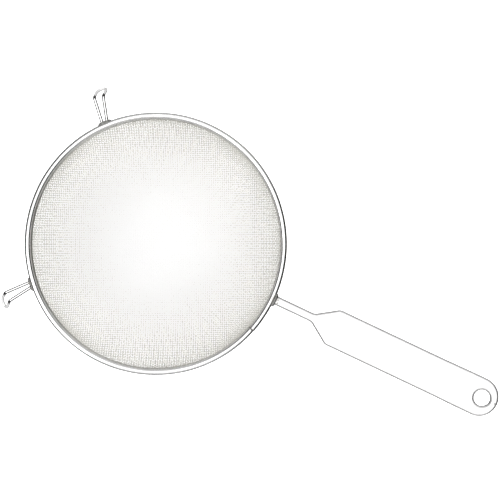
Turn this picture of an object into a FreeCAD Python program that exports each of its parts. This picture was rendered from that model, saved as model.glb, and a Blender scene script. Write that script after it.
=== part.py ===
import FreeCAD, Part

import math
import os

# Hand strainer with a doubled wire-mesh bowl, in millimetres.
# +X runs out along the handle and +Z points up out of the open bowl. The origin is the
# centre of the rim circle, on the plane that the hook legs and the handle neck rest on.

# Rim: a sheet strip curled round a bead wire, its two legs gripping the mesh edge.
RIM_OUTER_RADIUS = 101.5
CURL_RADIUS = 2.3
STRIP_THICKNESS = 0.45
BEAD_WIRE_CLEARANCE = 0.05
LEG_SLOPE_DEG = 80.0
LEG_END = 7.7              # from the curl's centre, down the leg
SEAM_ANGLE_DEG = -16.5
SEAM_GAP_DEG = 0.3
SEAM_WELD_RAISE = 0.12

# Bowl: half an ellipsoid below the rim, tangent to the rim's legs.
BOWL_DEPTH = 60.0
MESH_TANGENT = 6.0         # where the bowl meets the leg's slope, from the curl's centre
MESH_END = 3.7             # where the mesh stops inside the grip, from the curl's centre
FINE_WIRE = 0.30           # woven at a pitch of 0.95
FINE_SHELL_THICKNESS = 0.16
SUPPORT_WIRE = 0.45        # woven at a pitch of 1.85
SUPPORT_SHELL_THICKNESS = 0.18
CLOTH_GAP = 0.05
GRIP_CLEARANCE = 0.15

# Handle: one stamped sheet with turned-down edges, a narrow neck and a hanging hole.
SHEET = 0.8
HANDLE_DEPTH = 4.4
NECK_HALF_WIDTH = 3.4
GRIP_HALF_WIDTH = 14.7
END_HALF_WIDTH = 15.0
NECK_START = 100.6
FLARE_START = 134.2
FLARE_END = 150.9
SWELL_START = 238.5
SWELL_END = 264.0
HANDLE_TIP = 290.0
FLARE_CORNER_RADIUS = 6.0
SWELL_RADIUS = 150.0
EDGE_RADIUS = 2.4
HANDLE_RISE_DEG = 3.0
BEND_X = 122.0
BEND_RADIUS = 60.0
HOLE_X = 277.5
HOLE_RADIUS = 6.2
HOLE_LIP_RADIUS = 2.6
COLLAR_DEPTH = 4.2
SPOT_PIT_RADIUS = 0.8
SPOT_PIT_RISE = 0.5        # height of the pit sphere's centre above the neck
SPOT_PITS = ((104.2, 0.9), (104.6, -1.4))

# Rest hooks: a wire hairpin each, opposite the handle, with the looped tip bent down.
HOOK_WIRE = 2.5
HOOK_SPREAD_DEG = {1: 41.8, -1: 43.2}      # each hook's place, from the line opposite the handle
HOOK_SKEW_DEG = 10.0       # each hook turns this far away from the other one
HOOK_ROOT_HALF_GAP = 1.8
HOOK_SPLAY_DEG = 4.6
HOOK_LEG = 19.4
HOOK_ROOT_INSET = 1.0      # how far a leg reaches back into the curl before it is coped
HOOK_BEND_DEG = 50.0
HOOK_BEND_RADIUS = 3.2
HOOK_TAIL = 4.2
HOOK_LEAN = 0.5            # sideways per unit of drop, away from the other hook

# Weld beads between the rim and what it carries.
HOOK_WELD_RADIUS = 1.3
HOOK_WELD_HALF_LENGTH = 5.4
HANDLE_WELD_RADIUS = 1.5
HANDLE_WELD_HALF_LENGTH = 5.2
HANDLE_WELD_HEIGHT = 3.8   # high enough to lie over the neck's top as well
WELD_STAND_OFF = 0.25

BIG = 400.0

# Values worked out from the dimensions above.
curl_r = RIM_OUTER_RADIUS - CURL_RADIUS
curl_z = CURL_RADIUS
leg_slope = math.radians(LEG_SLOPE_DEG)
cloth_stack = 2 * FINE_WIRE + CLOTH_GAP + 2 * SUPPORT_WIRE
slot_half = cloth_stack / 2 + GRIP_CLEARANCE
leg_half = slot_half + STRIP_THICKNESS
fine_offset = FINE_WIRE - cloth_stack / 2
support_offset = cloth_stack / 2 - SUPPORT_WIRE
handle_rise = math.radians(HANDLE_RISE_DEG)

UP = FreeCAD.Vector(0, 0, 1)
ORIGIN = FreeCAD.Vector(0, 0, 0)


def vec(x, y, z):
    return FreeCAD.Vector(x, y, z)


def down_the_leg(distance):
    """Radius and height of a point on the rim leg's middle line."""
    return (curl_r - distance * math.cos(leg_slope),
            curl_z - distance * math.sin(leg_slope))


def bowl_ellipse():
    """Half-axes and centre height of the bowl's middle surface.

    The ellipse passes through the pole at BOWL_DEPTH and is tangent to the leg's slope.
    """
    tangent_r, tangent_z = down_the_leg(MESH_TANGENT)
    drop = BOWL_DEPTH + tangent_z
    cos_tangent = 1 / (math.tan(leg_slope) * tangent_r / drop - 1)
    across = tangent_r / math.sqrt(1 - cos_tangent ** 2)
    down = drop / (1 - cos_tangent)
    return across, down, tangent_z + down * cos_tangent


bowl_a, bowl_c, bowl_z = bowl_ellipse()
mesh_end_z = down_the_leg(MESH_END)[1]


def bowl_arc(offset):
    """Half section of the bowl's surface, moved out by offset, from its edge to its pole."""
    centre = vec(0, 0, bowl_z)
    across = vec(0, bowl_a + offset, 0)
    down = vec(0, 0, bowl_c + offset)
    start = math.asin((bowl_z - mesh_end_z) / (bowl_c + offset))
    ellipse = Part.Ellipse(centre + across, centre - down, centre)
    return Part.ArcOfEllipse(ellipse, start, math.pi / 2).toShape()


def tube(path_edges, radius):
    """Round wire swept along connected edges."""
    path = Part.Wire(path_edges)
    first = path.OrderedEdges[0]
    start = first.valueAt(first.FirstParameter)
    along = first.tangentAt(first.FirstParameter)
    ring = Part.Wire(Part.Circle(start, along, radius).toShape())
    return path.makePipeShell([ring], True, False)


def rounded_outline(corners):
    """Closed outline in the XY plane through (x, y, corner radius) corners."""
    arcs = []
    for i, (x, y, radius) in enumerate(corners):
        before = corners[i - 1]
        after = corners[(i + 1) % len(corners)]
        corner = vec(x, y, 0)
        to_before = (vec(before[0], before[1], 0) - corner).normalize()
        to_after = (vec(after[0], after[1], 0) - corner).normalize()
        if radius == 0:
            arcs.append((corner, None, corner))
            continue
        half_angle = to_before.getAngle(to_after) / 2
        reach = radius / math.tan(half_angle)
        middle = (to_before + to_after).normalize()
        to_arc = radius / math.sin(half_angle) - radius
        arcs.append((corner + to_before * reach, corner + middle * to_arc, corner + to_after * reach))
    edges = []
    for i, (start, middle, end) in enumerate(arcs):
        if middle is not None:
            edges.append(Part.Arc(start, middle, end).toShape())
        next_start = arcs[(i + 1) % len(arcs)][0]
        if end.distanceToPoint(next_start) > 1e-6:
            edges.append(Part.LineSegment(end, next_start).toShape())
    return Part.Wire(edges)


def revolve(face, degrees=360.0, start_degrees=0.0):
    """Turn a face drawn in the XZ plane about the Z axis."""
    turned = face.copy()
    turned.rotate(ORIGIN, UP, start_degrees)
    return turned.revolve(ORIGIN, UP, degrees)


def rim_disc(radius):
    return Part.Face(Part.Wire(Part.Circle(vec(curl_r, 0, curl_z), vec(0, 1, 0), radius).toShape()))


def rim_strip(half_width, length):
    """Rectangle down the leg from the curl's centre, in the XZ plane."""
    centre = vec(curl_r, 0, curl_z)
    along = vec(-math.cos(leg_slope), 0, -math.sin(leg_slope))
    side = vec(-math.sin(leg_slope), 0, math.cos(leg_slope))
    corners = [centre - side * half_width,
               centre + along * length - side * half_width,
               centre + along * length + side * half_width,
               centre + side * half_width]
    return Part.Face(Part.makePolygon(corners + corners[:1]))


def rim_outside():
    """Section of the curl and both legs, filled in."""
    return rim_disc(CURL_RADIUS).fuse(rim_strip(leg_half, LEG_END)).removeSplitter()


def rim_envelope():
    """The space that the rim takes up, which fits whatever is welded to it."""
    return revolve(rim_outside().Faces[0])


def rim_hoop():
    hollow = rim_disc(CURL_RADIUS - STRIP_THICKNESS).fuse(rim_strip(slot_half, LEG_END + 1))
    section = rim_outside().cut(hollow).removeSplitter()
    start = SEAM_ANGLE_DEG + SEAM_GAP_DEG / 2
    return revolve(section.Faces[0], 360 - SEAM_GAP_DEG, start)


def bead_wire():
    radius = CURL_RADIUS - STRIP_THICKNESS - BEAD_WIRE_CLEARANCE
    return Part.makeTorus(curl_r, radius, vec(0, 0, curl_z))


def hoop_seam_weld():
    """Weld that closes the curl where the strip's two ends meet."""
    ring = rim_disc(CURL_RADIUS + SEAM_WELD_RAISE).cut(rim_disc(CURL_RADIUS - STRIP_THICKNESS))
    section = ring.cut(rim_strip(leg_half, LEG_END))
    start = SEAM_ANGLE_DEG - SEAM_GAP_DEG / 2
    return revolve(section.Faces[0], SEAM_GAP_DEG, start)


def cloth_meridian(offset):
    """Section of a cloth's face at this offset from the middle surface, from edge to pole.

    It is a spline, because an ellipse turned about its own axis can't be read back from
    a STEP file.
    """
    return bowl_arc(offset).toNurbs().Edges[0]


def cloth(offset, thickness):
    """Woven cloth as a thin shell that holds as much metal as its wires."""
    inner = cloth_meridian(offset - thickness / 2)
    outer = cloth_meridian(offset + thickness / 2)
    at_edge = Part.LineSegment(inner.valueAt(inner.FirstParameter),
                               outer.valueAt(outer.FirstParameter)).toShape()
    at_pole = Part.LineSegment(outer.valueAt(outer.LastParameter),
                               inner.valueAt(inner.LastParameter)).toShape()
    section = Part.Face(Part.Wire([at_edge, outer, at_pole, inner]))
    return section.revolve(ORIGIN, UP, 360)


def fine_mesh():
    return cloth(fine_offset, FINE_SHELL_THICKNESS)


def support_mesh():
    return cloth(support_offset, SUPPORT_SHELL_THICKNESS)


def handle_top(x):
    """Height of the handle's top face, past the bend."""
    return HANDLE_DEPTH + (x - BEND_X) * math.tan(handle_rise)


def handle_plan(start_x):
    """Outline of the handle seen from above."""
    side = [(start_x, NECK_HALF_WIDTH, 0),
            (FLARE_START, NECK_HALF_WIDTH, FLARE_CORNER_RADIUS),
            (FLARE_END, GRIP_HALF_WIDTH, FLARE_CORNER_RADIUS),
            (SWELL_START, GRIP_HALF_WIDTH, SWELL_RADIUS),
            (SWELL_END, END_HALF_WIDTH, SWELL_RADIUS),
            (HANDLE_TIP, END_HALF_WIDTH, END_HALF_WIDTH)]
    return rounded_outline([(x, -y, r) for x, y, r in side] + side[::-1])


def handle_side(top_drop, depth):
    """Outline of the handle seen from the side, turned into the XZ plane."""
    reach = HANDLE_TIP + 10
    start = NECK_START - 10
    top = -top_drop
    corners = [(start, HANDLE_DEPTH + top, 0),
               (start, HANDLE_DEPTH + top - depth, 0),
               (BEND_X, HANDLE_DEPTH + top - depth, BEND_RADIUS + top_drop + depth),
               (reach, handle_top(reach) + top - depth, 0),
               (reach, handle_top(reach) + top, 0),
               (BEND_X, HANDLE_DEPTH + top, BEND_RADIUS + top_drop)]
    outline = rounded_outline(corners)
    outline.rotate(ORIGIN, vec(1, 0, 0), 90)
    return outline


def handle_block(plan, side, edge_radius):
    """Solid under both outlines, with the edges round its top rolled over."""
    upright = Part.Face(plan).extrude(UP * BIG)
    upright.translate(UP * (-BIG / 2))
    slab = Part.Face(side).extrude(vec(0, BIG, 0))
    slab.translate(vec(0, -BIG / 2, 0))
    block = upright.common(slab).removeSplitter()
    solid = block.Solids[0]
    return solid.makeFillet(edge_radius, top_edges(solid))


def top_edges(solid):
    """Edges between the upper faces and the walls, apart from those across the handle."""
    upper = [face for face in solid.Faces if face_normal(face).z > 0.9]
    walls = [face for face in solid.Faces if abs(face_normal(face).z) < 0.1]
    chosen = []
    for edge in solid.Edges:
        on_upper = any(edge.isSame(e) for face in upper for e in face.Edges)
        on_wall = any(edge.isSame(e) for face in walls for e in face.Edges)
        middle = edge.valueAt((edge.FirstParameter + edge.LastParameter) / 2)
        if on_upper and on_wall and abs(middle.y) > SHEET:
            chosen.append(edge)
    return chosen


def face_normal(face):
    u_low, u_high, v_low, v_high = face.ParameterRange
    return face.normalAt((u_low + u_high) / 2, (v_low + v_high) / 2)


def hole_collar():
    """Lip round the hanging hole, pressed down from the sheet, with its axis along Z."""
    outer = HOLE_RADIUS + HOLE_LIP_RADIUS
    lip_z = -HOLE_LIP_RADIUS
    inner_bend = HOLE_LIP_RADIUS - SHEET
    diagonal = math.sqrt(0.5)
    centre = vec(outer, 0, lip_z)
    top_arc = Part.Arc(vec(outer, 0, 0),
                       centre + vec(-diagonal, 0, diagonal) * HOLE_LIP_RADIUS,
                       vec(HOLE_RADIUS, 0, lip_z)).toShape()
    under_arc = Part.Arc(vec(HOLE_RADIUS + SHEET, 0, lip_z),
                         centre + vec(-diagonal, 0, diagonal) * inner_bend,
                         vec(outer, 0, -SHEET)).toShape()
    straight = Part.makePolygon([vec(HOLE_RADIUS, 0, lip_z), vec(HOLE_RADIUS, 0, -COLLAR_DEPTH),
                                 vec(HOLE_RADIUS + SHEET, 0, -COLLAR_DEPTH),
                                 vec(HOLE_RADIUS + SHEET, 0, lip_z)])
    close = Part.makePolygon([vec(outer, 0, -SHEET), vec(outer, 0, 0)])
    section = Part.Face(Part.Wire([top_arc] + straight.Edges + [under_arc] + close.Edges))
    return section.revolve(ORIGIN, UP, 360)


def handle():
    outside = handle_block(handle_plan(NECK_START), handle_side(0, HANDLE_DEPTH), EDGE_RADIUS)
    hollow_plan = handle_plan(NECK_START - 5).makeOffset2D(-SHEET)
    hollow = handle_block(hollow_plan, handle_side(SHEET, HANDLE_DEPTH), EDGE_RADIUS - SHEET)
    shell = outside.cut(hollow)
    opening = Part.makeCylinder(HOLE_RADIUS + HOLE_LIP_RADIUS, 4 * SHEET, vec(0, 0, -2 * SHEET))
    collar = hole_collar()
    for shape in (opening, collar):
        shape.rotate(ORIGIN, vec(0, 1, 0), -HANDLE_RISE_DEG)
        shape.translate(vec(HOLE_X, 0, handle_top(HOLE_X)))
    shell = shell.cut(opening).fuse(collar)
    for x, y in SPOT_PITS:
        pit_centre = vec(x, y, HANDLE_DEPTH + SPOT_PIT_RISE)
        shell = shell.cut(Part.makeSphere(SPOT_PIT_RADIUS, pit_centre))
    return shell.cut(rim_envelope()).removeSplitter()


def hook_leg(side):
    """Points down one leg of a hook: root, bend start, bend middle, bend end, loop start."""
    splay = math.radians(HOOK_SPLAY_DEG)
    bend = math.radians(HOOK_BEND_DEG)
    along = vec(math.cos(splay), side * math.sin(splay), 0)
    root = vec(-HOOK_ROOT_INSET, side * HOOK_ROOT_HALF_GAP, HOOK_WIRE / 2)
    bend_start = root + along * (HOOK_LEG + HOOK_ROOT_INSET)

    def on_bend(angle):
        drop = HOOK_BEND_RADIUS * (1 - math.cos(angle))
        return bend_start + along * (HOOK_BEND_RADIUS * math.sin(angle)) - UP * drop

    bend_end = on_bend(bend)
    tail = along * math.cos(bend) - UP * math.sin(bend)
    return [root, bend_start, on_bend(bend / 2), bend_end, bend_end + tail * HOOK_TAIL], tail


def hook_place(side):
    return 180 - side * HOOK_SPREAD_DEG[side]


def leaning(edge, side):
    """Push whatever hangs below the legs' plane sideways, away from the other hook."""
    shear = FreeCAD.Matrix()
    shear.A23 = side * HOOK_LEAN
    shear.A24 = -side * HOOK_LEAN * HOOK_WIRE / 2
    return edge.transformGeometry(shear).Edges[0]


def hook_in_place(shape, side):
    """Move a hook drawn along +X from the rim's edge to its place on the rim."""
    placed = shape.copy()
    place = hook_place(side)
    placed.rotate(ORIGIN, UP, place - side * HOOK_SKEW_DEG)
    angle = math.radians(place)
    placed.translate(vec(math.cos(angle), math.sin(angle), 0) * RIM_OUTER_RADIUS)
    return placed


def hook(side):
    """One hairpin: side is 1 for the hook on the +Y side and -1 for the other."""
    near, near_tail = hook_leg(1)
    far, far_tail = hook_leg(-1)
    axis = (near_tail + far_tail).normalize()
    lean = math.asin(near_tail.y)
    radius = near[-1].y / math.cos(lean)
    centre = vec(near[-1].x, 0, near[-1].z) + axis * (radius * math.sin(lean))
    apex = centre + axis * radius
    legs = [Part.LineSegment(near[0], near[1]).toShape(), Part.LineSegment(far[1], far[0]).toShape()]
    tip = [Part.Arc(*near[1:4]), Part.LineSegment(near[3], near[4]), Part.Arc(near[4], apex, far[4]),
           Part.LineSegment(far[4], far[3]), Part.Arc(*far[3:0:-1])]
    path = legs[:1] + [leaning(curve.toShape(), side) for curve in tip] + legs[1:]
    return hook_in_place(tube(path, HOOK_WIRE / 2), side).cut(rim_envelope())


def rim_weld(place_degrees, radius, half_length, height, joined):
    """Straight weld bead with round ends against the rim's curl, cut to fit what it joins."""
    start = vec(RIM_OUTER_RADIUS + WELD_STAND_OFF, -half_length, height)
    bead = Part.makeCylinder(radius, 2 * half_length, start, vec(0, 1, 0))
    for end in (start, start + vec(0, 2 * half_length, 0)):
        bead = bead.fuse(Part.makeSphere(radius, end, vec(0, 1, 0)))
    bead = bead.removeSplitter()
    bead.rotate(ORIGIN, UP, place_degrees)
    return bead.cut(rim_envelope()).cut(joined).removeSplitter()


def hook_weld(side, joined):
    height = (HOOK_WIRE / 2 + curl_z) / 2
    return rim_weld(hook_place(side), HOOK_WELD_RADIUS, HOOK_WELD_HALF_LENGTH, height, joined)


def handle_weld(joined):
    return rim_weld(0, HANDLE_WELD_RADIUS, HANDLE_WELD_HALF_LENGTH, HANDLE_WELD_HEIGHT, joined)


def build():
    handle_shape = handle()
    right_hook = hook(1)
    left_hook = hook(-1)
    return {
        "rim_hoop": rim_hoop(),
        "bead_wire": bead_wire(),
        "hoop_seam_weld": hoop_seam_weld(),
        "fine_mesh": fine_mesh(),
        "support_mesh": support_mesh(),
        "handle": handle_shape,
        "handle_weld": handle_weld(handle_shape),
        "right_hook": right_hook,
        "left_hook": left_hook,
        "right_hook_weld": hook_weld(1, right_hook),
        "left_hook_weld": hook_weld(-1, left_hook),
    }


os.makedirs("parts", exist_ok=True)
for name, shape in build().items():
    shape.exportStep("parts/" + name + ".step")
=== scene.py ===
import math

import bmesh
import bpy
import numpy as np
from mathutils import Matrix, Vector, noise
from mathutils.geometry import delaunay_2d_cdt

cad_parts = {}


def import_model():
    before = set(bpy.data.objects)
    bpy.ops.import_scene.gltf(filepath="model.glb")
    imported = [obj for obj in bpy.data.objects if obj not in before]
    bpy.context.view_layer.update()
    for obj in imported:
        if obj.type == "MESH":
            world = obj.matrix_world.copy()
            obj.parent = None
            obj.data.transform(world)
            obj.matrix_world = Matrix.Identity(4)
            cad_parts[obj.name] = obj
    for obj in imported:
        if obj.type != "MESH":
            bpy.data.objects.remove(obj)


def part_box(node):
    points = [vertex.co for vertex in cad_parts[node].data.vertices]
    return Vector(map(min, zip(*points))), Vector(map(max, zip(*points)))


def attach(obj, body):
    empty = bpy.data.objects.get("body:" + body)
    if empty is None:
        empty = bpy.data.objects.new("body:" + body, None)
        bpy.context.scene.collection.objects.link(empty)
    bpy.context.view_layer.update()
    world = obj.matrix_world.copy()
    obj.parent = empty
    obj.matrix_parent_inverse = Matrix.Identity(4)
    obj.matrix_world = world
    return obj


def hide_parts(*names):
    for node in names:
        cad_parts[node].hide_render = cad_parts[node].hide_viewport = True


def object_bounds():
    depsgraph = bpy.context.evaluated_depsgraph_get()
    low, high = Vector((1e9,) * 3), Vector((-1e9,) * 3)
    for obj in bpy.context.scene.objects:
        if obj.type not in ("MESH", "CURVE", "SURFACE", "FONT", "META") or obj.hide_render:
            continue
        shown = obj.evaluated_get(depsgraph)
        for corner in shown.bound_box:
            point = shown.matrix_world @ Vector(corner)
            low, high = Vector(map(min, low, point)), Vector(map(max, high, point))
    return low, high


# A hand strainer with a doubled mesh bowl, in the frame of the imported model: +X runs out
# along the handle and +Z points up out of the open bowl. Shapes are worked out in
# millimetres, and add_piece turns them into metres.
MM = 0.001

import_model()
cad_low, cad_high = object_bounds()

# Rim: a sheet strip curled round a bead wire. Its section lies in the XZ plane.
RIM_OUTER_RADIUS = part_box("rim_hoop")[1].x / MM
CURL_RADIUS = 2.3
STRIP_THICKNESS = 0.45
BEAD_WIRE_CLEARANCE = 0.05
LEG_SLOPE = math.radians(80.0)
LEG_END = 7.7
LEG_CROWN = 0.2
LEG_START_GAP = 0.15
PINCH = 0.12
PINCH_POWER = 6
SEAM_ANGLE = math.radians(-16.5)
SEAM_HALF_GAP = math.radians(0.15)
SEAM_STEP = 0.16
SEAM_STEP_FADE = 0.05
RIM_WAVE = 0.05
RIM_WAVE_SCALE = 6
RIM_SEGMENTS = 720
LEG_STEPS = 14
LEG_INSIDE_STEPS = 8
LEG_TIP_STEPS = 9
CURL_STEPS = 40
CURL_INSIDE_STEPS = 28
BEAD_SEGMENTS = 360
BEAD_SIDES = 16

# Cloths: woven wires that lie on the lower half of an ellipsoid.
BOWL_DEPTH = 60.0
MESH_TANGENT = 6.0
MESH_END = 3.7
SUPPORT_ANGLE = math.radians(25.4)
FINE_ANGLE = math.radians(25.4 + 45.0)
FINE_WIRE = 0.30
FINE_PITCH = 0.95
SUPPORT_WIRE = 0.45
SUPPORT_PITCH = 1.85
CLOTH_GAP = 0.05
GRIP_CLEARANCE = 0.15
WIRE_END_GAP = 0.05
FINE_SIDES = 4
SUPPORT_SIDES = 6
CLOTH_BANDS = 2
MERIDIAN_SAMPLES = 4000

# Handle: a stamped sheet with turned-down edges.
SHEET = 0.8
HANDLE_DEPTH = 4.4
NECK_HALF_WIDTH = 3.4
GRIP_HALF_WIDTH = 14.7
END_HALF_WIDTH = 15.0
NECK_START = 100.6
FLARE_START = 134.2
FLARE_END = 150.9
SWELL_START = 238.5
SWELL_END = 264.0
HANDLE_TIP = 290.0
FLARE_CORNER_RADIUS = 6.0
SWELL_RADIUS = 150.0
EDGE_RADIUS = 2.4
HANDLE_RISE = math.radians(3.0)
BEND_X = 122.0
BEND_RADIUS = 60.0
HOLE_X = 277.5
HOLE_RADIUS = 6.2
HOLE_LIP_RADIUS = 2.6
COLLAR_DEPTH = 4.2
COLLAR_BREAK = -3.4
FOOT_ROUNDING = 0.15
HANDLE_RIM_GAP = 0.02
HOLE_SIDES = 72
LIP_STEPS = 9
LIP_UNDER_STEPS = 7
EDGE_STEPS = 10
EDGE_WALL_STEPS = 4
NECK_STEPS = 3
OUTLINE_STEP = 1.6
CORNER_STEP = math.radians(3)
SHEET_GRID = 2.2
GRID_CLEARANCE = 0.6
FILL_TOLERANCE = 1e-4
MERGE_DISTANCE = 0.001
SPOT_PITS = ((104.2, 0.9), (104.6, -1.4))

# Rest hooks: a wire hairpin each, with the looped tip bent down.
HOOK_WIRE = 2.5
HOOK_SPREAD = {1: math.radians(41.8), -1: math.radians(43.2)}
HOOK_SKEW = math.radians(10.0)
HOOK_ROOT_HALF_GAP = 1.8
HOOK_SPLAY = math.radians(4.6)
HOOK_LEG = 19.4
HOOK_ROOT_INSET = 1.0
HOOK_BEND = math.radians(50.0)
HOOK_BEND_RADIUS = 3.2
HOOK_TAIL = 4.2
HOOK_LEAN = 0.5
HOOK_SIDES = 24
HOOK_LEG_STEPS = 16
HOOK_BEND_STEPS = 9
HOOK_LOOP_STEPS = 25

# Weld beads.
HOOK_WELD_RADIUS = 1.3
HOOK_WELD_HALF_LENGTH = 5.4
HANDLE_WELD_RADIUS = 1.5
HANDLE_WELD_HALF_LENGTH = 5.2
HANDLE_WELD_HEIGHT = 3.8
WELD_STAND_OFF = 0.25
WELD_STEPS = 34
WELD_SIDES = 28
WELD_END_POWER = 5
WELD_END_SHARE = 0.02
WELD_RIPPLE = 0.05
WELD_RIPPLE_PITCH = 0.9
# Sizes, amounts and seed steps of the noise that makes the beads lumpy.
WELD_LUMPS = ((1.3, 0.22, 0.0), (0.4, 0.06, 7.0))
HOOK_WELD_SEED = 5.0
HANDLE_WELD_SEED = 11.0
SEAM_WELD_STEPS = 30
SEAM_WELD_SIDES = 12
SEAM_WELD_PROUD = 0.08
SEAM_WELD_RADIUS = 0.30
SEAM_WELD_RIPPLE = 0.04
SEAM_WELD_RIPPLE_TURN = 1.9
SEAM_WELD_END = 0.12
SEAM_WELD_LUMP = 0.5
SEAM_WELD_LUMP_DEPTH = 0.05
SEAM_WELD_SEED = 3.0

# Steel: depths of the grain and of the gentle waves in a worked surface, and the points
# round which welding greyed it.
GRAIN_DEPTH = 0.004
WAVE_DEPTH = 0.03
RIM_HEAT_REACH = 4.5
HANDLE_HEAT_REACH = 4.5
HOOK_HEAT_REACH = 4.0
HOOK_HEAT_HEIGHT = 1.4
HANDLE_HEAT_HEIGHT = 2.5
SEAM_HEAT_HEIGHT = 1.0
SEAM_HEAT_INSET = 2.0
HEAT_EDGE_COLOUR = (0.42, 0.40, 0.36, 1)
HEAT_COLOUR = (0.13, 0.125, 0.12, 1)
PIT_REACH = 1.1
PIT_COLOUR = (0.10, 0.10, 0.09, 1)

# Painted shade on the rim's inner leg: a dark reflection painted into its colour, full inside this
# radius and below this height.
LEG_SHADE_RADIUS = 97.9
LEG_SHADE_RADIUS_FADE = 0.6
LEG_SHADE_HEIGHT = 0.6
LEG_SHADE_HEIGHT_END = 1.8
LEG_SHADE_ROUGHNESS = 0.12
LEG_SHADE_COLOUR = (0.17, 0.165, 0.145, 1)

# The hooks' wire has painted shade on its flanks, a dark reflection painted between these heights, and
# is satin low down.
FLANK_LOW = 1.0
FLANK_LOW_FULL = 1.7
FLANK_HIGH_FULL = 2.3
FLANK_HIGH = 2.45
FLANK_SHADE_COLOUR = (0.03, 0.03, 0.028, 1)
TIP_FULL = 0.2
TIP_TOP = 1.0
TIP_ROUGHNESS = 0.35
TIP_METALLIC = 0.6

# The cloths' painted shade, darker and warmer towards the rim, grows between these heights.
CLOTH_SHADE_LOW = -57.0
CLOTH_SHADE_TOP = -8.0
CLOTH_SHADE_POWER = 0.75
CLOTH_SHADE_COLOUR = (0.58, 0.565, 0.515, 1)
CLOTH_METALLIC = 0.45

# Weld metal.
WELD_DARK = (0.09, 0.09, 0.085, 1)
WELD_PALE = (0.34, 0.335, 0.32, 1)
WELD_CLOUD = (0.15, 0.14, 0.14, 1)

# Floor: its half width and its gap below the part are in metres. The pool of light that
# mirrored rays see on it is in millimetres.
FLOOR_HALF = 0.9
FLOOR_GAP = 0.0005
FLOOR_GLOW = 0.75
FLOOR_ROUGHNESS = 0.8
FLOOR_SHINE = 0.1
POOL_START = 60.0
POOL_END = 115.0
POOL_BRIGHT = 0.40
POOL_DIM = 0.03

# Room: a ceiling, a horizon that is dimmer to the right, two glows on it and a dark card.
CEILING_GLOW = 2.0
CEILING_START = math.radians(46.0)
CEILING_FULL = math.radians(54.0)
HORIZON_LEFT = 0.16
HORIZON_RIGHT = 0.05
HORIZON_REACH = 0.9
HORIZON_GLOWS = ((math.radians(78.0), 0.9), (math.radians(-85.0), 0.85))
HORIZON_GLOW_WIDTH = math.radians(65.0)
CARD_ELEVATION = math.radians(15.0)
CARD_AZIMUTH = math.radians(-12.0)
CARD_INNER = math.radians(28.0)
CARD_OUTER = math.radians(46.0)
CARD_GLOW = 0.05
FILL_GLOW = 1.75

# Key light: a softbox overhead to the picture's lower left, in metres and watts.
KEY_DROP = 0.6
KEY_HEIGHT = 1.4
KEY_DISTANCE = 1.2
KEY_SIZE = 1.2
KEY_POWER = 10.0

# Camera: it looks straight down, turned so that the handle lies to the right.
CAMERA_HEIGHT = 1200.0
FIELD_WIDTH = 387.5
SENSOR_WIDTH = 36.0
AIM_RIGHT = 72.85
AIM_DOWN = 4.8
CAMERA_ROLL = math.radians(25.25)

image_right = Vector((math.cos(CAMERA_ROLL), math.sin(CAMERA_ROLL), 0))
image_up = Vector((-math.sin(CAMERA_ROLL), math.cos(CAMERA_ROLL), 0))

curl_r = RIM_OUTER_RADIUS - CURL_RADIUS
curl_z = CURL_RADIUS
cloth_stack = 2 * FINE_WIRE + CLOTH_GAP + 2 * SUPPORT_WIRE
slot_half = cloth_stack / 2 + GRIP_CLEARANCE
leg_half = slot_half + STRIP_THICKNESS
fine_offset = FINE_WIRE - cloth_stack / 2
support_offset = cloth_stack / 2 - SUPPORT_WIRE


def down_the_leg(distance):
    """Radius and height of a point on the middle line of the rim's legs."""
    return (curl_r - distance * math.cos(LEG_SLOPE),
            curl_z - distance * math.sin(LEG_SLOPE))


def bowl_ellipse():
    """Half-axes and centre height of the surface that the cloths lie on."""
    tangent_r, tangent_z = down_the_leg(MESH_TANGENT)
    drop = BOWL_DEPTH + tangent_z
    cos_tangent = 1 / (math.tan(LEG_SLOPE) * tangent_r / drop - 1)
    across = tangent_r / math.sqrt(1 - cos_tangent ** 2)
    down = drop / (1 - cos_tangent)
    return across, down, tangent_z + down * cos_tangent


bowl_a, bowl_c, bowl_z = bowl_ellipse()
mesh_end_z = down_the_leg(MESH_END)[1]


# ---------------------------------------------------------------- mesh helpers

def add_piece(name, points, faces, material, node):
    """A smooth-shaded mesh object that stands for a CAD node."""
    mesh = bpy.data.meshes.new(name)
    mesh.from_pydata(np.asarray(points, float) * MM, [], faces)
    mesh.validate()
    mesh.shade_smooth()
    mesh.materials.append(material)
    piece = bpy.data.objects.new(name, mesh)
    bpy.context.scene.collection.objects.link(piece)
    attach(piece, "root")
    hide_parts(node)
    return piece


def ring_faces(rings, sides, closed_rings=True, closed_path=False):
    """Quads between successive rings of points, as an array of indices."""
    steps = rings if closed_path else rings - 1
    around = sides if closed_rings else sides - 1
    i = np.arange(steps)[:, None]
    j = np.arange(around)[None, :]
    next_i = (i + 1) % rings
    next_j = (j + 1) % sides
    quads = np.stack([i * sides + j, i * sides + next_j, next_i * sides + next_j,
                      next_i * sides + j], axis=-1)
    return quads.reshape(-1, 4)


def unit(vectors):
    return vectors / np.linalg.norm(vectors, axis=-1, keepdims=True)


def end_caps(rings, sides):
    """Faces that close the first and the last of a run of rings."""
    last = (rings - 1) * sides
    return [list(range(sides))[::-1], list(range(last, last + sides))]


def even_turns(count):
    """Angles of evenly spaced points round a circle."""
    return np.arange(count) * (2 * math.pi / count)


def about_z(turn):
    """Matrix that turns rows of points about the Z axis."""
    return np.array([[math.cos(turn), math.sin(turn), 0],
                     [-math.sin(turn), math.cos(turn), 0],
                     [0, 0, 1]])


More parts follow.
